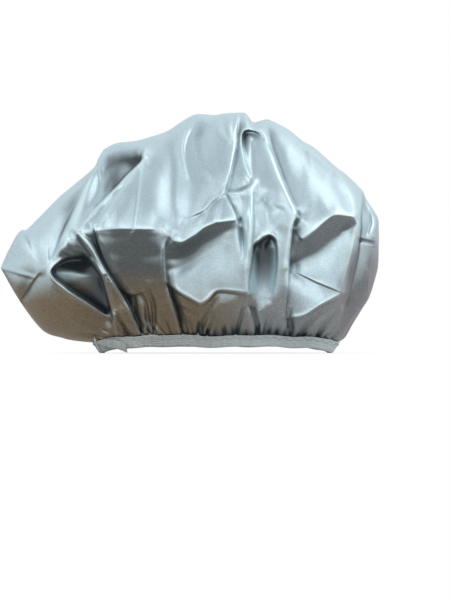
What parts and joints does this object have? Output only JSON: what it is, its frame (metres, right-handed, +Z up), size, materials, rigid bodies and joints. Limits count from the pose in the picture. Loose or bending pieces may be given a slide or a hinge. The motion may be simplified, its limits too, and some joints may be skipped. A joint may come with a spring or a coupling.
{
  "type": "shower cap",
  "caption": "Full, gathered shower cap of silver coated cloth with a film lining, drawn in by an elastic hem bound with woven tape that has a loose end.",
  "frame": {"origin": "middle of the head opening, on the surface that the hem stands on", "axes": "+Z up through the crown, +X along the hem's long way, the front of the cap faces -Y"},
  "size_m": [0.302, 0.1833, 0.1915],
  "materials": {
    "silver_cloth": "satin silver coating",
    "lining_film": "smooth film",
    "woven_tape": "ribbed weave",
    "elastic": "woven elastic",
    "thread": "spun thread"
  },
  "bodies": {
    "crown_and_front_hem": {"outer_shell": "silver_cloth", "waterproof_lining": "lining_film", "hem_tape_front": "woven_tape", "elastic_front": "elastic", "stitching_front": "thread", "bar_tack": "thread"},
    "rear_hem": {"hem_tape_rear": "woven_tape", "elastic_rear": "elastic", "stitching_rear": "thread"},
    "tape_end": {"loose_tape_end": "woven_tape"}
  },
  "joints": [
    {"name": "hem_stretch", "type": "slide", "parent": "crown_and_front_hem", "child": "rear_hem", "axis": [0, 1, 0], "range_m": [0, 0.08], "stiffness_N_per_m": 40, "deforming": ["outer_shell", "waterproof_lining"]},
    {"name": "tape_end_swing", "type": "hinge", "parent": "crown_and_front_hem", "child": "tape_end", "pos_m": [-0.09543, -0.01338, 0.005], "axis": [0, 0, -1], "range_deg": [0, 100]}
  ]
}
